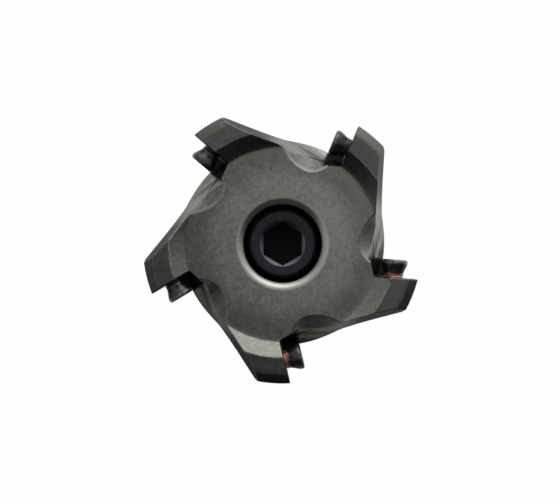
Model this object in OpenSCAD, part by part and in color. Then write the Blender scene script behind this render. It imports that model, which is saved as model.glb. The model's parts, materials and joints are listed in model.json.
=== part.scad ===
// Face mill body for square indexable inserts, with its arbor screw and five insert screws.
// Millimetres. Rear mounting face on z = 0, cutter axis on z, cutting face towards +z.

/* [Body] */
// height from the rear face to the ridge of the lobes
body_h = 48.5; // [46:0.5:60]
// diameter across the outer lands of the lobes
body_d = 73; // [70:0.2:76]
// overhang of the lobes over the hub
lobe_out = 8.7; // [7:0.1:9.8]
// depth of the dished front face below the ridge
dish_depth = 2.5; // [2:0.25:3.5]
// distance of the ridge inside the outer lands
ridge_in = 7.1; // [6.1:0.1:7.9]
// radial width of the dish cone inside the ridge
dish_w = 3.5; // [3:0.1:4.2]
// fillet between the front face and the dish cone
dish_fillet = 4; // [2:0.5:5]
// slope of the shallow front facet of a lobe
facet_slope = 18; // [12:1:22]
// radial width of the steep outer facet of a lobe
edge_facet = 3.3; // [2.6:0.1:4]
// slope of the steep outer facet of a lobe
edge_slope = 32; // [26:1:40]
// height of the outer land of a lobe
land_h = 6.25; // [5:0.25:7.5]
// slope of the back of the lobes
back_slope = 16; // [10:1:22]
// fillet between the hub and the back of the lobes
back_fillet = 6; // [3:0.5:8]
// chamfer round the rear face
rear_chamfer = 1; // [0.5:0.1:2]

/* [Arbor seat] */
// diameter of the arbor bore
bore_d = 27; // [22:0.5:28]
// depth of the arbor bore
bore_depth = 23; // [22:0.5:24]
// chamfer at the mouth of the bore
bore_chamfer = 0.4; // [0.2:0.1:0.5]
// length of the rear land of the bore
rear_land = 10.5; // [9:0.5:11]
// length of the relief between the two lands of the bore
relief_len = 6.5; // [5:0.5:8]
// depth of the relief in the wall of the bore
relief_cut = 0.5; // [0.3:0.1:1]
// width of the drive slot
slot_w = 12.4; // [10:0.1:14]
// depth of the drive slot
slot_depth = 7; // [5:0.25:8]
// thickness of the web that the arbor screw clamps
web_t = 8; // [6:0.5:9]
// clearance of the arbor screw in the web and the counterbore
screw_gap = 1.25; // [0.5:0.05:1.5]
// rounded mouth of the counterbore
mouth_r = 2; // [1:0.25:2.5]

/* [Teeth] */
// direction of the first insert seat
first_angle = 67.3; // [0:0.1:72]
// distance of the insert seats behind the cutter axis
seat_back = 6.5; // [5.5:0.1:7.2]
// distance of the milled notch wall inside the outer lands, at the front face
notch_in = 13; // [12.4:0.1:13.6]
// lean of the notch wall
notch_lean = 12; // [9:1:15]
// depth of the notch below the front face
notch_depth = 14; // [12:0.5:15]
// slope of the notch floor
floor_slope = 30; // [20:1:38]
// fillet between the notch wall and its floor
notch_fillet = 5; // [3:0.5:6]
// turn of the chip flat against the notch wall
flat_turn = 8.5; // [5:0.5:11]
// step of the chip flat inside the notch wall, on the seat direction
flat_step = 1.15; // [0.9:0.05:1.4]
// depth of the chip flat below the notch floor
flat_drop = 0.6; // [0.4:0.1:1]
// width of the ledge that carries the pocket wall
ledge_w = 4.55; // [3.8:0.05:4.7]
// depth of the chip scoop inside the notch wall
scoop_depth = 3.7; // [3:0.1:4.4]
// lean of the chip scoop
scoop_lean = 50; // [42:1:56]
// radius of the chip scoop on the pocket side
scoop_near_r = 7; // [6:0.25:7.5]
// radius of the chip scoop on the far side
scoop_far_r = 14.5; // [12:0.5:17]
// rounding where the chip scoop runs into the notch wall
scoop_blend = 3; // [2:0.5:5]
// sideways place of the deepest point of the scoop
scoop_y = 1.9; // [1.2:0.1:2.4]
// width of the square insert pocket on its seat
pocket_w = 10.84; // [10.4:0.02:11.2]
// taper of the pocket wall
pocket_taper = 11; // [7:1:12]
// distance of the pocket centre outside the notch wall
pocket_out = 6.2; // [5.9:0.1:6.5]
// depth of the pocket centre below the front face
pocket_drop = 2.6; // [2.3:0.1:3]
// distance of the cut off inner corner from the pocket centre
pocket_corner = 6.3; // [6:0.1:6.5]
// radius of the corner relief beside the pocket
relief_r = 0.45; // [0.3:0.05:0.6]
// length of the corner relief
relief_run = 7; // [5:0.25:8]
// turn of the flank at the outer rear corner of a lobe
corner_turn = 11; // [8:0.5:14]
// lean of the flank at the outer rear corner of a lobe
corner_lean = 9; // [7:0.5:11]

/* [Insert screws] */
// outer diameter of the insert screw thread
tip_screw_d = 5; // [4:0.5:5]
// clearance round the insert screw in its hole
thread_gap = 0.05; // [0.03:0.01:0.1]
// length of the insert screw
tip_screw_len = 9.5; // [9:0.25:10]
// diameter of the insert screw head
tip_head_d = 6.8; // [6.6:0.1:7.4]
// height of the cone under the head
tip_cone_h = 2.4; // [2.1:0.1:2.7]
// height of the thin rim of the head
tip_rim_h = 0.5; // [0.4:0.05:0.7]
// rounding of the top edge of the head
tip_round = 0.6; // [0.4:0.05:0.7]
// height of the head top over the insert seat
tip_stand = 4.75; // [4.4:0.05:5]
// depth of the star recess in the head
star_depth = 1.7; // [1.2:0.1:2]
// length of the tapped hole behind its seat
hole_len = 7.5; // [7.2:0.1:7.8]
// chamfer at the mouth of the tapped hole
hole_chamfer = 0.4; // [0.2:0.05:0.6]

/* [Arbor screw] */
// outer diameter of the arbor screw thread
arbor_screw_d = 12; // [10:0.5:13]
// length of the arbor screw under its head
arbor_screw_len = 20; // [18:0.5:21]
// diameter of the arbor screw head
arbor_head_d = 18; // [16:0.25:18.5]
// height of the arbor screw head
arbor_head_h = 12; // [10:0.25:12.5]
// width across flats of the hexagon socket
socket_af = 10; // [8:0.25:10.5]
// depth of the hexagon socket
socket_depth = 6; // [5:0.25:7]
// chamfer round the head and at the mouth of the socket
head_chamfer = 0.7; // [0.4:0.1:1]

/* [Hidden] */
$fn = 96;
teeth = 5;
pitch = 360 / teeth;
big = 120;
body_r = body_d / 2;
reach = body_r * 0.93;
hub_r = body_r - lobe_out;
bore_r = bore_d / 2;
ridge_r = body_r - ridge_in;
dish_r = ridge_r - dish_w;
notch_x = body_r - notch_in;
face_z = body_h - dish_depth;
facet_r = body_r - edge_facet;
facet_z = body_h - (facet_r - ridge_r) * tan(facet_slope);
land_top = facet_z - edge_facet * tan(edge_slope);
land_low = land_top - land_h;
back_z = land_low - (body_r - hub_r) * tan(back_slope);
back_cx = hub_r + back_fillet;
back_cz = back_z + back_fillet * tan(back_slope) - back_fillet / cos(back_slope);
dish_angle = atan2(dish_depth, ridge_r - dish_r);
dish_run = dish_fillet * tan(dish_angle / 2);
web_top = bore_depth + web_t;
web_hole_r = arbor_screw_d / 2 + screw_gap * 0.6;
sink_r = arbor_head_d / 2 + screw_gap;
pocket_half = pocket_w / 2;
pocket_x = notch_x + pocket_out;
pocket_z = face_z - pocket_drop;
corner_y = sqrt(pow(facet_r, 2) - pow(notch_x, 2)) + 1;
ledge_r = hub_r + 1;
ledge_y = ledge_w - seat_back;
hole_r = tip_screw_d / 2 + thread_gap;
head_under = tip_stand - tip_rim_h - tip_round;
notch_det = cos(notch_lean + floor_slope);
notch_cx = notch_fillet * (cos(floor_slope) - sin(notch_lean)) / notch_det;
notch_cz = notch_fillet * (cos(notch_lean) - sin(floor_slope)) / notch_det;
notch_kx = notch_depth * tan(notch_lean);
blend_x = scoop_depth * cos(scoop_lean) - scoop_blend;
blend_y = sqrt(pow(scoop_far_r + scoop_blend, 2) - pow(scoop_far_r - blend_x, 2));
star_r = tip_head_d * 0.2;

// half section of the turned blank: hub, flared lobes ring, facets, ridge and dished face
module blank_section() {
  difference() {
    polygon([
      [0, 0],
      [hub_r - rear_chamfer, 0],
      [hub_r, rear_chamfer],
      [hub_r, back_cz],
      [back_cx, back_cz],
      [back_cx - back_fillet * sin(back_slope), back_cz + back_fillet * cos(back_slope)],
      [body_r, land_low],
      [body_r, land_top],
      [facet_r, facet_z],
      [ridge_r, body_h],
      [dish_r + dish_run * cos(dish_angle), face_z + dish_run * sin(dish_angle)],
      [dish_r - dish_run, face_z + dish_fillet],
      [dish_r - dish_run, face_z],
      [0, face_z]
    ]);
    translate([back_cx, back_cz]) circle(back_fillet + 0.004);
    translate([dish_r - dish_run, face_z + dish_fillet]) circle(dish_fillet);
  }
}

// half section of everything bored along the axis
module bore_section() {
  translate([0, -1]) square([bore_r, bore_depth + 1]);
  polygon([[0, -1], [bore_r + bore_chamfer + 1, -1], [bore_r, bore_chamfer], [0, bore_chamfer]]);
  translate([0, rear_land]) square([bore_r + relief_cut, relief_len]);
  square([web_hole_r, body_h]);
  translate([0, web_top]) square([sink_r, body_h]);
  difference() {
    translate([0, face_z - mouth_r]) square([sink_r + mouth_r, mouth_r + 1]);
    translate([sink_r + mouth_r, face_z - mouth_r]) circle(mouth_r);
  }
}

// outline of the chip scoop across its own lean, deepest at the origin
module scoop_section() {
  translate([scoop_near_r, 0]) circle(scoop_near_r);
  translate([scoop_near_r, -scoop_near_r]) square([reach, scoop_near_r]);
  intersection() {
    translate([scoop_far_r, 0]) circle(scoop_far_r);
    square([reach, scoop_far_r + 1]);
  }
  translate([scoop_far_r, 0]) square([reach, scoop_far_r]);
  difference() {
    polygon([[blend_x + scoop_blend, blend_y], [blend_x, blend_y], [scoop_far_r, 0]]);
    translate([blend_x, blend_y]) circle(scoop_blend);
  }
}

// outline of the milled notch from the side, wall corner at the origin on the front face
module notch_section() {
  translate([notch_kx, -notch_depth]) {
    polygon([
      [-reach * tan(notch_lean), reach],
      [notch_cx - notch_fillet * cos(notch_lean), notch_cz - notch_fillet * sin(notch_lean)],
      [notch_cx, notch_cz],
      [notch_cx - notch_fillet * sin(floor_slope), notch_cz - notch_fillet * cos(floor_slope)],
      [reach, -reach * tan(floor_slope)],
      [reach, reach]
    ]);
    translate([notch_cx, notch_cz]) circle(notch_fillet + 0.004);
  }
}

// notch running along the seat normal, from its corner edge
module notch() {
  rotate([90, 0, 0]) translate([0, 0, -reach]) linear_extrude(reach) notch_section();
}

// space in front of the flank at the outer rear corner of the next lobe
module corner_space() {
  translate([notch_x, corner_y, face_z])
    rotate([0, 0, -corner_turn])
      rotate([0, -corner_lean, 0])
        translate([0, -big / 2, -big / 2]) cube([big, big, big]);
}

// space on the insert side of one pocket wall, from the centre of the seat
module pocket_side(turn) {
  rotate([0, turn, 0])
    translate([-pocket_half, 0, 0])
      rotate([0, 0, pocket_taper])
        translate([0, -big / 2, -big / 2]) cube([big, big, big]);
}

// one milled gap: notch wall, chip flat, chip scoop, ledge step and square pocket
module tooth_gap() {
  intersection() {
    translate([notch_x, ledge_y, face_z]) notch();
    corner_space();
  }
  intersection() {
    translate([notch_x - flat_step, ledge_y, face_z - flat_drop]) rotate([0, 0, -flat_turn]) notch();
    translate([0, ledge_y, -1]) cube([big, big, big]);
  }
  translate([notch_x - scoop_depth, scoop_y, face_z])
    rotate([0, -scoop_lean, 0])
      translate([0, 0, -reach / 2]) linear_extrude(reach) scoop_section();
  difference() {
    translate([notch_x - 4, -seat_back, -1]) cube([reach, ledge_w + 0.01, big]);
    translate([0, 0, -2]) cylinder(r = ledge_r, h = big + 4);
  }
  translate([pocket_x, -seat_back, pocket_z])
    intersection() {
      translate([-pocket_corner, 0, -reach / 2]) cube([reach, ledge_w, reach]);
      pocket_side(45);
      pocket_side(-45);
    }
  translate([notch_x + 0.7, ledge_y + 0.6, face_z - 10.2])
    rotate([-34, 0, 7])
      cylinder(r1 = relief_r, r2 = 0.1, h = relief_run);
}

// blind tapped hole of an insert screw, with its drill point
module tip_hole() {
  translate([pocket_x, -seat_back, pocket_z])
    rotate([-90, 0, 0]) {
      translate([0, 0, -hole_len]) cylinder(r = hole_r, h = hole_len + 1);
      translate([0, 0, -hole_len - hole_r * 0.3]) cylinder(r1 = 0.2, r2 = hole_r, h = hole_r * 0.3);
      translate([0, 0, -hole_chamfer])
        cylinder(r1 = hole_r, r2 = hole_r + hole_chamfer + 0.01, h = hole_chamfer + 0.01);
    }
}

module cutter_body() {
  color([0.42, 0.43, 0.4])
    difference() {
      rotate_extrude() difference() {
        blank_section();
        bore_section();
      }
      for (k = [0 : teeth - 1]) {
        rotate([0, 0, first_angle + k * pitch]) tooth_gap();
        rotate([0, 0, first_angle + k * pitch]) tip_hole();
      }
      translate([-big / 2, -slot_w / 2, -1]) cube([big, slot_w, slot_depth + 1]);
    }
}

module arbor_screw() {
  color([0.09, 0.09, 0.1])
    translate([0, 0, web_top])
      difference() {
        rotate_extrude() polygon([
          [0, -arbor_screw_len],
          [arbor_screw_d / 2 - 1, -arbor_screw_len],
          [arbor_screw_d / 2, 1 - arbor_screw_len],
          [arbor_screw_d / 2, 0],
          [arbor_head_d / 2, 0],
          [arbor_head_d / 2, arbor_head_h - head_chamfer],
          [arbor_head_d / 2 - head_chamfer, arbor_head_h],
          [0, arbor_head_h]
        ]);
        translate([0, 0, arbor_head_h - socket_depth])
          rotate([0, 0, 30]) cylinder(d = socket_af / cos(30), h = socket_depth + 1, $fn = 6);
        translate([0, 0, arbor_head_h - head_chamfer])
          cylinder(d1 = socket_af + 0.2, d2 = socket_af + 0.2 + head_chamfer * 4, h = head_chamfer * 2);
        translate([0, 0, arbor_head_h - socket_depth - 1.6])
          cylinder(d1 = 1, d2 = socket_af * 0.96, h = 1.61);
      }
}

// insert screw k, standing proud of its empty seat
module tip_screw(k) {
  color([0.1, 0.1, 0.1])
    rotate([0, 0, first_angle + (k - 1) * pitch])
      translate([pocket_x, -seat_back, pocket_z])
        rotate([-90, 0, 0])
          difference() {
            rotate_extrude() {
              polygon([
                [0, tip_stand - tip_screw_len],
                [tip_screw_d / 2 - 0.5, tip_stand - tip_screw_len],
                [tip_screw_d / 2, tip_stand - tip_screw_len + 0.5],
                [tip_screw_d / 2, head_under - tip_cone_h],
                [tip_head_d / 2, head_under],
                [tip_head_d / 2, head_under + tip_rim_h],
                [tip_head_d / 2 - tip_round, head_under + tip_rim_h],
                [tip_head_d / 2 - tip_round, tip_stand],
                [0, tip_stand]
              ]);
              translate([tip_head_d / 2 - tip_round, head_under + tip_rim_h]) intersection() {
                circle(tip_round);
                square([tip_round, tip_round]);
              }
            }
            translate([0, 0, tip_stand - star_depth]) {
              cylinder(r = star_r, h = star_depth + 1);
              for (a = [0 : 60 : 300]) {
                rotate([0, 0, a]) translate([star_r, 0, 0]) cylinder(r = star_r * 0.32, h = star_depth + 1);
              }
            }
          }
}

module insert_screw_1() {
  tip_screw(1);
}

module insert_screw_2() {
  tip_screw(2);
}

module insert_screw_3() {
  tip_screw(3);
}

module insert_screw_4() {
  tip_screw(4);
}

module insert_screw_5() {
  tip_screw(5);
}

cutter_body();
arbor_screw();
insert_screw_1();
insert_screw_2();
insert_screw_3();
insert_screw_4();
insert_screw_5();
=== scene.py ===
import json
import math
import bpy
import numpy as np
from mathutils import Matrix, Vector


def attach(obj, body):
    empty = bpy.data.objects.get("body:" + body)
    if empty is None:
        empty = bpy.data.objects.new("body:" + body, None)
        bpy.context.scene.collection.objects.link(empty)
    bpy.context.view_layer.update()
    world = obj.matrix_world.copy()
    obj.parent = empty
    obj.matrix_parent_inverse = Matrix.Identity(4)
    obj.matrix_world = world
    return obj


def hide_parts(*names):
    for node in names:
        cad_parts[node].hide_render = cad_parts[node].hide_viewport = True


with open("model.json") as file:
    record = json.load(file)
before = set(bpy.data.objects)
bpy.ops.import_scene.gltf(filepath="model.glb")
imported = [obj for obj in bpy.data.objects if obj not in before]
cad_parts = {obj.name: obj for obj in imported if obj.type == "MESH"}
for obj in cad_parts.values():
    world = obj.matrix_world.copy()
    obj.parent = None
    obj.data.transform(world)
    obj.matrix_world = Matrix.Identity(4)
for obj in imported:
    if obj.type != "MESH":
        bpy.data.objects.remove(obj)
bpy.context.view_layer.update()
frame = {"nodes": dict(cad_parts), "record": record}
mm = 0.001
black, white = (0, 0, 0), (1, 1, 1)
scene = bpy.context.scene
scene.view_settings.view_transform = "Standard"
print("frame loaded with", len(frame["nodes"]), "nodes")


class Wire:  # a node socket that does sums
    def __init__(self, tree, socket=None):
        self.tree = tree
        self.socket = socket

    def make(self, kind, settings=None, sockets=None, out=0):  # any node: settings first, then its sockets
        node = self.tree.nodes.new(kind)
        for key, value in (settings or {}).items():
            setattr(node, key, value)
        for key, value in (sockets or {}).items():
            if isinstance(value, Wire):
                self.tree.links.new(value.socket, node.inputs[key])
            else:
                node.inputs[key].default_value = value
        return Wire(self.tree, node.outputs[out] if len(node.outputs) > out else None)

    def sum(self, operation, a, b=0.0, c=0.0):
        return self.make("ShaderNodeMath", {"operation": operation}, {0: a, 1: b, 2: c})

    def __add__(self, other): return self.sum("ADD", self, other)
    def __radd__(self, other): return self.sum("ADD", other, self)
    def __sub__(self, other): return self.sum("SUBTRACT", self, other)
    def __rsub__(self, other): return self.sum("SUBTRACT", other, self)
    def __mul__(self, other): return self.sum("MULTIPLY", self, other)
    def __rmul__(self, other): return self.sum("MULTIPLY", other, self)
    def __truediv__(self, other): return self.sum("DIVIDE", self, other)
    def __rtruediv__(self, other): return self.sum("DIVIDE", other, self)
    def __pow__(self, other): return self.sum("POWER", self, other)
    def __rpow__(self, other): return self.sum("POWER", other, self)
    def __abs__(self): return self.sum("ABSOLUTE", self)
    def atLeast(self, other): return self.sum("MAXIMUM", self, other)
    def atMost(self, other): return self.sum("MINIMUM", self, other)

    def step(self, low, high):  # 0 at low, 1 at high, smooth between
        return self.make("ShaderNodeMapRange", {"interpolation_type": "SMOOTHSTEP"},
                         {0: self, 1: low, 2: high, 3: 0.0, 4: 1.0})

    def band(self, low, high, soft):  # 1 from low to high
        return self.step(low - soft, low + soft) * self.step(high + soft, high - soft)

    def tint(self, a, b, blend="MIX"):  # colour a where this is 0, b where it is 1
        shade = lambda c: c if isinstance(c, Wire) else (*c, 1)
        return self.make("ShaderNodeMix", {"data_type": "RGBA", "blend_type": blend},
                         {0: self, 6: shade(a), 7: shade(b)}, 2)

    def lean(self, a, b):  # normal a where this is 0, b where it is 1
        return self.make("ShaderNodeMix", {"data_type": "VECTOR"}, {0: self, 4: a, 5: b}, 1)


def startFinish(name):
    made = bpy.data.materials.new(name)
    made.use_nodes = True
    made.node_tree.nodes.clear()
    return made, Wire(made.node_tree)


def endFinish(w, sockets):
    shader = w.make("ShaderNodeBsdfPrincipled", sockets=sockets)
    w.make("ShaderNodeOutputMaterial", sockets={"Surface": shader})


edgeSamples = 8


def roundEdges(w, radius):  # normals as if every edge had this radius
    return w.make("ShaderNodeBevel", {"samples": edgeSamples}, {"Radius": radius * mm})


def outward(w):  # the normal before any edge is rounded
    return w.make("ShaderNodeNewGeometry", out=1)


def edgeMask(w, rounded, low, high):  # 1 along edges
    same = w.make("ShaderNodeVectorMath", {"operation": "DOT_PRODUCT"}, {0: rounded, 1: outward(w)}, 1)
    return (1 - same).step(low, high)


def millimetres(w):
    place = w.make("ShaderNodeTexCoord", out=3)
    return w.make("ShaderNodeVectorMath", {"operation": "SCALE"}, {0: place, "Scale": 1 / mm})


def axes(w, at):
    parts = w.make("ShaderNodeSeparateXYZ", sockets={0: at}).socket.node.outputs
    return [Wire(w.tree, part) for part in parts]


def towards(x, y, degrees):  # how far out in one direction
    return x * math.cos(math.radians(degrees)) + y * math.sin(math.radians(degrees))


def noise(w, at, scale, detail, rough, seed):  # the seed moves it elsewhere
    moved = w.make("ShaderNodeVectorMath", {"operation": "ADD"}, {0: at, 1: (seed, seed * 0.7, seed * 1.3)})
    return w.make("ShaderNodeTexNoise", sockets={"Vector": moved, "Scale": scale, "Detail": detail,
                                                 "Roughness": rough})


def bumped(w, strength, deep, height, normal):
    return w.make("ShaderNodeBump", sockets={"Strength": strength, "Distance": deep, "Height": height,
                                             "Normal": normal})


# satin steel of the body, in millimetres and degrees; noises are scale, detail, roughness, seed,
# pairs run from 0 to 1, and bands are low, high, softness
bodySteel = {
    "dark": (0.190, 0.199, 0.174), "pale": (0.372, 0.388, 0.342),
    "wornAndSheen": (0.62, 0.63, 0.58), "scratchAndShadeDark": (0.004, 0.004, 0.004), "glance": (0.6, 0.6, 0.6, 1),
    "cloud": (0.16, 4.0, 0.6, 3.0), "cloudShare": 0.9,
    "mottle": (0.9, 4.0, 0.6, 11.0), "mottleShare": 1.75,
    "grain": (5.0, 3.0, 0.6, 23.0), "grainShare": 1.9,
    # painted light: the colour turns lighter towards this side
    "paintedLightSide": 35.0, "paintedLightShare": 0.017,
    "wander": (0.22, 2.0, 0.5, 57.0), "hairWidth": (0.007, 0.0), "hair": 0.45,
    "hairPatch": (0.3, 2.0, 0.5, 71.0), "hairShow": (0.46, 0.58),
    "rough": 0.31, "roughSpread": 0.10, "smooth": 0.06,
    "bump": 0.06, "bumpDeep": 0.05, "bumpMottle": 0.6,
    "edge": 0.60, "edgeSharp": (0.001, 0.025), "lying": (0.6, 0.7),
    # face, dish and lobes, with the painted shade on them
    "onFace": (45.7, 45.9), "paintedFaceShadeFrom": (15.5, 22.5), "paintedFaceShadeEnd": (25.8, 25.4), "paintedFaceShade": 0.38,
    "dishFrom": (24.6, 26.4), "dish": 0.28, "dishSide": 65.0, "dishShare": 0.42,
    "ridge": (29.3, 29.5), "wallFrom": (25.5, 33.2), "lobe": (0.45, 0.435, 0.46),
    "paintedLobeShadeSide": 50.0, "paintedLobeShadeNarrow": 4, "paintedLobeShade": 0.24,
    "flankTurn": (0.35, 0.55), "flankFrom": (25.5, 28.5), "flank": 0.5, "flankRough": 0.3,
    "scoopBand": (15.0, 23.8, 0.4), "scoopTop": (45.7, 45.3), "scoopSide": 100.0, "scoop": 0.40,
    # bare metal rubbed on edges, partly a painted highlight, painted highlight lines on ridge and crease,
    # and a painted sheen round the mouth
    "wearPatch": (1.6, 3.0, 0.6, 41.0), "wearShow": (0.30, 0.62), "wearAndSheen": 0.28,
    "linePatch": (0.8, 3.0, 0.6, 47.0), "lineShow": (0.32, 0.62),
    "ridgeLine": (29.28, 29.52, 0.12), "ridgeShine": 0.5,
    "creaseLine": (33.9, 34.1, 0.1), "creaseShine": 0.22,
    "mouthBand": (10.53, 12.05, 0.4), "mouthRise": (43.15, 44.15), "mouthShine": 0.68,
    # tooth gaps, with painted shade in pockets, grooves, crevices, on the seat edges and in the counterbore
    "firstTooth": 67.3, "teeth": 5,
    "seatBand": (-7.55, -1.6, 0.2), "seatFrom": (22.9, 23.3), "seatEnd": (29.0, 28.0), "seatEdgeShade": 0.95,
    "pocketBand": (-6.35, -2.0, 0.15), "pocketRise": (35.5, 45.3, 0.3), "pocketFrom": (21.0, 21.5),
    "pocketShade": 0.985,
    "grooveStart": (24.2, -1.35, 35.8), "grooveLong": 7.0, "grooveTilt": 34.0, "grooveTurn": 7.0,
    "grooveRadius": (0.45, 0.10), "grooveSoft": (0.36, 0.16), "grooveShade": 0.97,
    "crevice": 1.5, "creviceSamples": 6, "creviceShut": (0.72, 0.32), "creviceShade": 0.85,
    "sinkRadius": (10.63, 10.18), "sinkTop": (44.65, 43.65),
    # slopes that the shading adds: from, to, slope at each end
    "facetEase": ((25.0, 25.9, 0.0, 0.37), (25.9, 26.95, 0.37, 0.0), (29.4, 33.2, 0.28, 0.28),
                  (33.2, 33.8, 0.55, 0.53), (33.8, 34.6, 0.53, 0.08), (34.6, 36.8, 0.08, 0.08)),
    "mouthEase": ((43.4, 44.4, 0.0, -0.66), (44.4, 45.7, -0.66, 0.0)), "inMouth": (12.45, 12.25),
}


def toothPlace(w, x, y, v):  # radius, then along and across the nearest tooth as the part's source has it
    half = math.pi / v["teeth"]
    turn = w.sum("WRAP", w.sum("ARCTAN2", y, x) - math.radians(v["firstTooth"]), half, -half)
    radius = (x * x + y * y) ** 0.5
    return radius, radius * w.sum("COSINE", turn), radius * w.sum("SINE", turn)


def grooveMask(at, v):  # 1 in the tapered relief groove beside a pocket
    tilt, turn = math.radians(v["grooveTilt"]), math.radians(v["grooveTurn"])
    flat = math.sin(tilt)
    way = (-flat * math.sin(turn), flat * math.cos(turn), math.cos(tilt))
    place = [a - s for a, s in zip(at, v["grooveStart"])]
    run = sum(p * d for p, d in zip(place, way)).atLeast(0.0).atMost(v["grooveLong"])
    gaps = [p - run * d for p, d in zip(place, way)]
    wide, narrow = v["grooveRadius"]
    radius = wide + run * ((narrow - wide) / v["grooveLong"])
    return (sum(g * g for g in gaps) ** 0.5 - radius).step(*v["grooveSoft"])


def easedNormal(w, place, slopes, normal):  # leans the normal by slopes that change along a place
    rise = 0.0
    for fromAt, toAt, fromSlope, toSlope in slopes:
        part = w.make("ShaderNodeMapRange", sockets={0: place, 1: fromAt, 2: toAt, 3: 0.0, 4: 1.0})
        climb = part * fromSlope + part * part * ((toSlope - fromSlope) / 2)
        rise = rise + climb * ((toAt - fromAt) * mm)
    return bumped(w, 1.0, 1.0, rise, normal)


def makeBodySteel(v):
    made, w = startFinish("satinSteel")
    at = millimetres(w)
    x, y, z = axes(w, at)
    radius, along, across = toothPlace(w, x, y, v)
    outX, outY, up = axes(w, outward(w))
    trailing = (outX * y - outY * x) / radius  # 1 where a wall faces back round the axis
    facing = lambda degrees: towards(x, y, degrees) / radius  # 1 on that side of the axis, -1 opposite
    lying = up.step(*v["lying"])
    ridge = radius.step(*v["ridge"])
    rounded = roundEdges(w, v["edge"])
    edge = edgeMask(w, rounded, *v["edgeSharp"])

    # cloudy grey with a fine grain, painted lighter towards the lit side, and hairlines that wander over it
    cloud, mottle, grain = (noise(w, at, *v[name]) for name in ("cloud", "mottle", "grain"))
    shade = 0.5 + (cloud - 0.5) * v["cloudShare"] + (mottle - 0.5) * v["mottleShare"]
    shade = shade + (grain - 0.5) * v["grainShare"] + towards(x, y, v["paintedLightSide"]) * v["paintedLightShare"]
    colour = shade.tint(v["dark"], v["pale"])
    hairline = abs(noise(w, at, *v["wander"]) - 0.5).step(*v["hairWidth"])
    hairline = hairline * noise(w, at, *v["hairPatch"]).step(*v["hairShow"])
    colour = (hairline * v["hair"]).tint(colour, v["scratchAndShadeDark"])

    # The face darkens towards the lobes, the dish and the scoops darken on one side, the walls facing back
    # round the axis darken, and so do the lobes facing one side, all painted shade. The lobes and their
    # walls are multiplied darker.
    paintedFaceShade = radius.step(*v["paintedFaceShadeFrom"]) * radius.step(*v["paintedFaceShadeEnd"]) * v["paintedFaceShade"]
    dish = (v["dish"] + facing(v["dishSide"]) * v["dishShare"]).atLeast(0.0) * radius.step(*v["dishFrom"])
    colour = ((paintedFaceShade + dish) * z.step(*v["onFace"]) * (1 - ridge)).tint(colour, v["scratchAndShadeDark"])
    lobe = ridge * lying + radius.step(*v["wallFrom"]) * (1 - lying)  # a soft change on the walls
    colour = lobe.tint(colour, v["lobe"], "MULTIPLY")
    flank = trailing.step(*v["flankTurn"]) * radius.step(*v["flankFrom"]) * v["flank"]
    scoop = radius.band(*v["scoopBand"]) * z.step(*v["scoopTop"])
    scoop = scoop * (facing(v["scoopSide"]) + 1) * (v["scoop"] / 2)
    paintedLobeShade = facing(v["paintedLobeShadeSide"]).atLeast(0.0) ** v["paintedLobeShadeNarrow"] * ridge * lying * v["paintedLobeShade"]
    colour = (flank + scoop + paintedLobeShade).tint(colour, v["scratchAndShadeDark"])

    # bare metal rubbed on edges, partly a painted highlight, painted highlight lines along ridge and
    # crease, and a painted sheen round the mouth of the counterbore
    seat = across.band(*v["seatBand"]) * along.step(*v["seatFrom"])
    wearAndSheen = edge * noise(w, at, *v["wearPatch"]).step(*v["wearShow"]) * (1 - seat)
    mouth = radius.band(*v["mouthBand"]) * z.step(*v["mouthRise"])
    line = radius.band(*v["ridgeLine"]) * v["ridgeShine"] + radius.band(*v["creaseLine"]) * v["creaseShine"]
    line = line * lying * noise(w, at, *v["linePatch"]).step(*v["lineShow"])
    wearAndHighlight = (wearAndSheen * v["wearAndSheen"]).atLeast(mouth * v["mouthShine"]).atLeast(line)
    colour = wearAndHighlight.tint(colour, v["wornAndSheen"])

    # painted shade in the pockets, the counterbore, crevices and relief grooves, and on the edges round the
    # seats, in the same near-black that darkens the hairline scratches
    pocket = across.band(*v["pocketBand"]) * z.band(*v["pocketRise"]) * along.step(*v["pocketFrom"])
    sink = radius.step(*v["sinkRadius"]) * z.step(*v["sinkTop"])
    free = w.make("ShaderNodeAmbientOcclusion", {"samples": v["creviceSamples"], "only_local": True},
                  {"Distance": v["crevice"] * mm}, 1)
    scratchAndShadeDark = (pocket * v["pocketShade"]).atLeast(sink).atLeast(free.step(*v["creviceShut"]) * v["creviceShade"])
    scratchAndShadeDark = scratchAndShadeDark.atLeast(edge * seat * along.step(*v["seatEnd"]) * v["seatEdgeShade"])
    scratchAndShadeDark = scratchAndShadeDark.atLeast(grooveMask((along, across, z), v) * v["grooveShade"])
    colour = scratchAndShadeDark.tint(colour, v["scratchAndShadeDark"])

    # the foot of the dish, the facets and the mouth catch light as softer bends
    normal = lying.lean(rounded, easedNormal(w, radius, v["facetEase"], rounded))
    normal = radius.step(*v["inMouth"]).lean(normal, easedNormal(w, z, v["mouthEase"], rounded))
    rough = v["rough"] + (mottle - 0.5) * v["roughSpread"] + (grain - 0.5) * v["roughSpread"]
    rough = rough - wearAndHighlight * v["smooth"] + flank * v["flankRough"]
    bump = bumped(w, v["bump"], v["bumpDeep"] * mm, grain + mottle * v["bumpMottle"], normal)
    endFinish(w, {"Base Color": colour, "Metallic": 1.0, "Roughness": rough, "Normal": bump,
                  "Specular Tint": v["glance"]})
    return made


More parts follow.
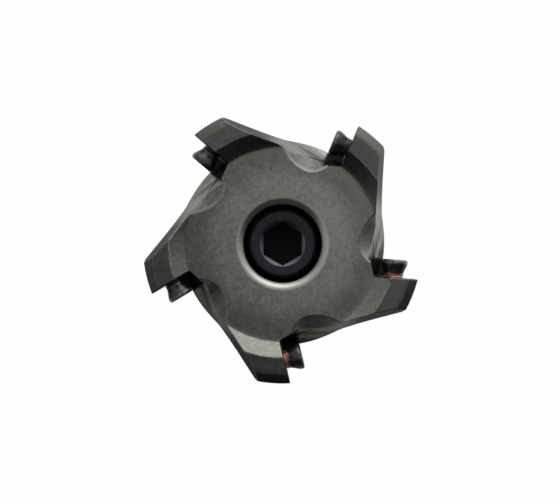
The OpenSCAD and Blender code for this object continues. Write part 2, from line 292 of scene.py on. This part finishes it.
# black oxide of the arbor screw, with a painted highlight at the socket mouth and painted shade in the
# socket
arborBlack = {
    "colour": (0.008, 0.010, 0.013), "paler": 2.4, "wornAndSheen": (0.165, 0.172, 0.188),
    "mottle": (1.2, 4.0, 0.6, 5.0), "mottleShow": (0.3, 0.7), "grain": (6.0, 2.0, 0.6, 17.0),
    "rough": 0.40, "roughSpread": 0.4, "gloss": 0.34, "bump": 0.25, "bumpDeep": 0.05,
    "edge": 0.25, "edgeSharp": (0.02, 0.2), "edgeShow": (0.35, 0.7), "edgeWear": 0.25,
    "mouthBand": (4.9, 6.15, 0.05), "mouthRise": (41.6, 42.95, 0.03), "mouthHighlight": 0.9,
    "highlightFadesTowards": 100.0, "wornAndSheenShow": (0.75, 0.1),
    "socketRadius": (6.0, 5.8), "socketTop": (41.9, 41.3), "socketShade": 0.7, "socketRough": 0.5,
}


def makeArborBlack(v):
    made, w = startFinish("blackOxide")
    at = millimetres(w)
    x, y, z = axes(w, at)
    radius = (x * x + y * y) ** 0.5
    mottle = noise(w, at, *v["mottle"])
    rounded = roundEdges(w, v["edge"])
    edge = edgeMask(w, rounded, *v["edgeSharp"]) * mottle.step(*v["edgeShow"])
    mouth = radius.band(*v["mouthBand"]) * z.band(*v["mouthRise"])  # painted highlight round the socket mouth, fading out on one side
    mouth = mouth * (towards(x, y, v["highlightFadesTowards"]) / radius).step(*v["wornAndSheenShow"])
    wearAndSheen = (edge * v["edgeWear"]).atLeast(mouth * v["mouthHighlight"])
    # painted shade inside the hex socket
    socket = radius.step(*v["socketRadius"]) * z.step(*v["socketTop"])
    oxide = mottle.step(*v["mottleShow"]).tint(v["colour"], [c * v["paler"] for c in v["colour"]])
    colour = wearAndSheen.tint((socket * v["socketShade"]).tint(oxide, black), v["wornAndSheen"])
    rough = v["rough"] + (mottle - 0.5) * v["roughSpread"] + socket * v["socketRough"]
    bump = bumped(w, v["bump"], v["bumpDeep"] * mm, noise(w, at, *v["grain"]), rounded)
    endFinish(w, {"Base Color": colour, "Metallic": wearAndSheen, "Roughness": rough, "Normal": bump,
                  "Specular IOR Level": v["gloss"]})
    return made


# black insert screws with copper paste towards the thread and a rubbed rim that is also a painted sheen;
# one share for each screw
insertBlack = {
    "colour": (0.070, 0.071, 0.074), "metal": 0.85, "edge": 0.12,
    "wornAndSheen": (0.36, 0.36, 0.35), "wornAndSheenFrom": (3.6, 3.8), "wornAndSheenShow": (0.36, 0.60),
    "wornAndSheenShares": (0.35, 0.05, 1.0, 0.35, 0.6),
    "paste": (0.76, 0.42, 0.34), "pasteTop": (2.0, 1.2), "pasteRagged": 1.2,
    "pasteShares": (0.06, 0.0, 0.02, 0.85, 0.80),
    "mottle": (1.4, 3.0, 0.6, 9.0), "grain": (7.0, 2.0, 0.6, 31.0), "bump": 0.10, "bumpDeep": 0.05,
    "rough": 0.20, "roughSpread": 0.15, "pasteRough": 0.2,
}


def makeInsertBlack(k, v):
    made, w = startFinish("blackScrew%d" % k)
    at = millimetres(w)
    height = axes(w, at)[2]
    mottle = noise(w, at, *v["mottle"])
    paste = (height + mottle * v["pasteRagged"]).step(*v["pasteTop"]) * v["pasteShares"][k - 1]
    # the rim turns lighter metal, partly rubbed and partly a painted sheen, more on some screws
    wearAndSheen = height.step(*v["wornAndSheenFrom"]) * mottle.step(*v["wornAndSheenShow"]) * v["wornAndSheenShares"][k - 1]
    colour = paste.tint(wearAndSheen.tint(v["colour"], v["wornAndSheen"]), v["paste"])
    rough = v["rough"] + paste * v["pasteRough"] + (mottle - 0.5) * v["roughSpread"]
    bump = bumped(w, v["bump"], v["bumpDeep"] * mm, noise(w, at, *v["grain"]), roundEdges(w, v["edge"]))
    endFinish(w, {"Base Color": colour, "Metallic": v["metal"], "Roughness": rough, "Normal": bump})
    return made


sharpAngle = math.radians(32)  # sharper bends stay as edges


def skin(name, rings, finish, place=Matrix.Identity(4)):  # rings of points, tail to recess, joined by quads
    count = len(rings[0])
    points = [p for loop in rings for p in loop]
    faces = []
    for r in range(len(rings) - 1):
        for i in range(count):
            j = (i + 1) % count
            faces.append((r * count + i, r * count + j, (r + 1) * count + j, (r + 1) * count + i))
    first, last = len(points), len(points) + 1
    points.append(tuple(np.mean(rings[0], axis=0)))
    points.append(tuple(np.mean(rings[-1], axis=0)))
    top = (len(rings) - 1) * count
    for i in range(count):
        j = (i + 1) % count
        faces.append((first, j, i))
        faces.append((last, top + i, top + j))
    mesh = bpy.data.meshes.new(name)
    mesh.from_pydata([[c * mm for c in p] for p in points], [], faces)
    mesh.shade_smooth()
    mesh.set_sharp_from_angle(angle=sharpAngle)
    mesh.materials.append(finish)
    made = bpy.data.objects.new(name, mesh)
    made.matrix_world = place
    scene.collection.objects.link(made)
    return made


def turns(count):
    return np.arange(count) * 2 * math.pi / count


def ring(radius, height, angles):
    radius = np.broadcast_to(radius, angles.shape)
    height = np.broadcast_to(height, angles.shape)
    return list(zip(radius * np.cos(angles), radius * np.sin(angles), height))


# thread form, in shares of the pitch
thread = {"deep": 0.6, "perTurn": 10, "rootFlat": 0.15, "flank": 0.65}


def threadRings(low, v, angles):  # helical thread from the tail up to the neck
    rings = [ring(v["tailFlat"], low, angles)]
    for z in np.arange(low, v["neck"] + 1e-6, v["pitch"] / thread["perTurn"]):
        place = (z / v["pitch"] - angles / (2 * math.pi)) % 1
        crest = np.clip((1 - np.abs(2 * place - 1) - thread["rootFlat"]) / thread["flank"], 0, 1)
        fade = np.clip((v["neck"] - z) / v["runOut"], 0, 1)
        radius = v["thread"] - thread["deep"] * v["pitch"] * (1 - crest) * fade
        rings.append(ring(np.minimum(radius, v["thread"] - v["tailBreak"] + (z - low)), z, angles))
    return rings


# insert screws: lathe with a thread, a flared head and a six lobe recess, heights from the seat
insertScrew = {
    "points": 96, "thread": 2.5, "pitch": 0.8, "tail": -4.75, "tailFlat": 0.4, "tailBreak": 0.6,
    "neck": 0.85, "runOut": 0.6, "flare": 1.25, "flareEase": 0.3, "flareRings": 9, "under": 3.65,
    "rim": 4.15, "rimRings": 8, "top": 4.75, "head": 3.4,
    "lobeCount": 6, "lobe": 1.46, "wave": 0.30, "deep": 1.65, "floorShare": 0.55, "floorDrop": 0.05,
    # wider than the lobes, below the top
    "recessMouth": ((0.60, 0.0), (0.16, 0.0), (0.06, 0.04), (0.0, 0.14)),
}


def makeInsertScrew(name, place, finish, v):
    a = turns(v["points"])
    profile = []
    for t in np.linspace(0, 1, v["flareRings"]):  # cone from the shank to the rim, eased at both ends
        swell = t * t * (3 - 2 * t) * v["flareEase"] + t * (1 - v["flareEase"])
        profile.append((v["thread"] + (v["head"] - v["thread"]) * swell,
                        v["flare"] + (v["under"] - v["flare"]) * t))
    soft = v["top"] - v["rim"]
    for t in np.linspace(0, math.pi / 2, v["rimRings"]):  # rounded edge of the head
        profile.append((v["head"] - soft * (1 - math.cos(t)), v["rim"] + soft * math.sin(t)))
    lobes = v["lobe"] + v["wave"] * np.cos(v["lobeCount"] * a)
    profile += [(lobes + wider, v["top"] - drop) for wider, drop in v["recessMouth"]]
    floor = v["top"] - v["deep"]
    profile += [(lobes, floor), (lobes * v["floorShare"], floor - v["floorDrop"])]
    rings = threadRings(v["tail"], v, a) + [ring(radius, z, a) for radius, z in profile]
    return skin(name, rings, finish, place)


# arbor screw: knurled socket head cap screw
arborScrew = {
    "points": 288, "seat": 31.0, "long": 20.0, "thread": 6.0, "pitch": 1.75,
    "tailFlat": 1.0, "tailBreak": 1.0, "neck": 27.0, "runOut": 1.5,
    "fillet": 0.4, "head": 9.0, "high": 12.0, "footBreak": 0.3,
    "knurlLow": 1.5, "knurlHigh": 1.6, "knurlFade": 0.3, "knurlStep": 4, "knurlDeep": 0.16,
    "break": 0.7, "breakEase": 0.3, "breakRings": 5,
    "flats": 10.0, "deep": 6.0, "mouth": 6.0, "mouthBreak": 0.12, "lead": 0.95, "leadLeast": 0.03,
    "drillShare": 0.94, "drillTip": 0.5, "drillDeep": 1.6,
}


def makeArborScrew(finish, v):
    a = turns(v["points"])
    seat, head, top = v["seat"], v["head"], v["seat"] + v["high"]
    profile = [(v["thread"], seat - v["fillet"]), (v["thread"] + v["fillet"], seat),
               (head - v["footBreak"], seat), (head, seat + v["footBreak"])]
    valley = np.arange(v["points"]) % v["knurlStep"] >= v["knurlStep"] / 2  # straight knurl round the head
    grip = head - np.where(valley, v["knurlDeep"], 0.0)
    low, high = seat + v["knurlLow"], top - v["knurlHigh"]
    profile += [(head, low - v["knurlFade"]), (grip, low), (grip, high), (head, high + v["knurlFade"]),
                (head, top - v["break"])]
    for t in np.linspace(1 / v["breakRings"], 1, v["breakRings"]):  # rounded edge of the head
        bend = t * t * v["breakEase"] + t * (1 - v["breakEase"])
        profile.append((head - v["break"] * t, top - v["break"] * (1 - bend)))
    sixth = math.pi / 3
    hexagon = v["flats"] / 2 / np.cos((a + sixth / 2) % sixth - sixth / 2)  # flats to the sides
    lead = np.clip((v["mouth"] - hexagon) * v["lead"], v["leadLeast"], None)
    floor = top - v["deep"]
    profile += [(v["mouth"] + v["mouthBreak"], top), (v["mouth"], top - v["leadLeast"]),
                (hexagon, top - lead), (hexagon, floor),
                (v["flats"] / 2 * v["drillShare"], floor), (v["drillTip"], floor - v["drillDeep"])]
    rings = threadRings(seat - v["long"], v, a) + [ring(radius, z, a) for radius, z in profile]
    return skin("arborScrewLook", rings, finish)


steel = makeBodySteel(bodySteel)
frame["nodes"]["cutter_body"].data.materials.clear()
frame["nodes"]["cutter_body"].data.materials.append(steel)
print("body finish ready")

look = makeArborScrew(makeArborBlack(arborBlack), arborScrew)
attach(look, "arbor_screw")
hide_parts("arbor_screw")
print("arbor screw ready")

seats = {m["name"]: m for m in frame["record"]["mounts"]}
for k in range(1, bodySteel["teeth"] + 1):  # each screw stands on its seat, along the seat's axis
    seat = seats["insert_seat_%d" % k]
    up = Vector(seat["axis"]).normalized()
    down = Vector((0, 0, -1))
    out = down.cross(up)
    place = Matrix((out, down, up)).transposed().to_4x4()
    place.translation = Vector(seat["pos_m"])
    look = makeInsertScrew("insertScrewLook%d" % k, place, makeInsertBlack(k, insertBlack), insertScrew)
    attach(look, "insert_screw_%d" % k)
    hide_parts("insert_screw_%d" % k)
print("insert screws ready")

# white table in metres; in what metal mirrors it glows as a painted pool of light and shadow, brighter
# towards the far side, with a slope per millimetre
table = {
    "size": 4.0, "below": 0.0001,
    "colour": (0.80, 0.80, 0.79), "speck": (0.05, 2.0, 0.5, 2.0), "speckTint": 0.97,
    "seen": 0.985, "mirrored": 0.9,
    "litFrom": 76.0, "middle": 0.82, "slope": 0.0135, "least": 0.22, "most": 1.0,
}


def rays(w, kind):
    return Wire(w.tree, w.make("ShaderNodeLightPath").socket.node.outputs[kind])


def makeTable(v):
    made, w = startFinish("whiteTable")
    seen = rays(w, "Is Camera Ray")
    mirrored = rays(w, "Is Glossy Ray") + rays(w, "Is Transmission Ray")
    at = millimetres(w)
    x, y = axes(w, at)[:2]
    # painted pool of light and shadow on the table, seen only in reflections
    lit = (towards(x, y, v["litFrom"]) * v["slope"] + v["middle"]).atMost(v["most"]).atLeast(v["least"])
    speck = noise(w, at, *v["speck"]).tint(v["colour"], [c * v["speckTint"] for c in v["colour"]])
    paper = w.make("ShaderNodeBsdfDiffuse", sockets={"Color": speck})
    light = seen.atLeast(lit).tint(black, white)
    glow = w.make("ShaderNodeEmission", sockets={"Color": light, "Strength": 1.0})
    share = seen * v["seen"] + mirrored * v["mirrored"]
    both = w.make("ShaderNodeMixShader", sockets={0: share, 1: paper, 2: glow})
    w.make("ShaderNodeOutputMaterial", sockets={"Surface": both})
    half = v["size"] / 2
    corners = [(x, y, -v["below"]) for x, y in ((-half, -half), (half, -half), (half, half), (-half, half))]
    mesh = bpy.data.meshes.new("whiteTable")
    mesh.from_pydata(corners, [], [(0, 1, 2, 3)])
    mesh.materials.append(made)
    top = bpy.data.objects.new("whiteTable", mesh)
    scene.collection.objects.link(top)


makeTable(table)

# room light by direction: a bright low window on one side, a dim corner, an even ceiling
room = {
    "windowAt": 76.0, "window": 2.25, "windowFall": 3.6, "sill": (-0.10, 0.42),
    "dimAt": 279.0, "dim": (0.58, -0.05), "low": 0.045, "ceiling": 0.42, "wallShare": 0.35, "seen": 0.98,
}


def makeRoom(v):
    world = bpy.data.worlds.new("paleRoom")
    scene.world = world
    world.use_nodes = True
    world.node_tree.nodes.clear()
    w = Wire(world.node_tree)
    x, y, up = axes(w, w.make("ShaderNodeTexCoord"))
    window = towards(x, y, v["windowAt"]).atLeast(0.0) ** v["windowFall"]
    window = window * up.step(*v["sill"]) * v["window"]
    walls = 1 - (1 - up) ** 2 * v["wallShare"]
    ceiling = towards(x, y, v["dimAt"]).step(*v["dim"]) * walls * v["ceiling"] + v["low"]
    lit = w.make("ShaderNodeBackground", sockets={"Color": (*white, 1), "Strength": window + ceiling})
    pale = w.make("ShaderNodeBackground", sockets={"Color": (*white, 1), "Strength": v["seen"]})
    both = w.make("ShaderNodeMixShader", sockets={0: rays(w, "Is Camera Ray"), 1: lit, 2: pale})
    w.make("ShaderNodeOutputWorld", sockets={"Surface": both})


makeRoom(room)
print("table and light ready")

# straight over the cutter, in metres and pixels of the picture
view = {
    "height": 0.346, "faceHeight": 0.046, "perPixel": 0.00026,
    "axisPixel": (282.6, 243.6), "frame": (560, 504), "sensor": 36.0, "clipStart": 0.01,
}


def makeCamera(v):
    wide, high = v["frame"]
    data = bpy.data.cameras.new("overhead")
    data.sensor_width = v["sensor"]
    data.lens = v["sensor"] * (v["height"] - v["faceHeight"]) / (wide * v["perPixel"])
    data.shift_x = (wide / 2 - v["axisPixel"][0]) / wide
    data.shift_y = (v["axisPixel"][1] - high / 2) / wide
    data.clip_start = v["clipStart"]
    camera = bpy.data.objects.new("overhead", data)
    camera.location = (0, 0, v["height"])
    scene.collection.objects.link(camera)
    scene.camera = camera


makeCamera(view)
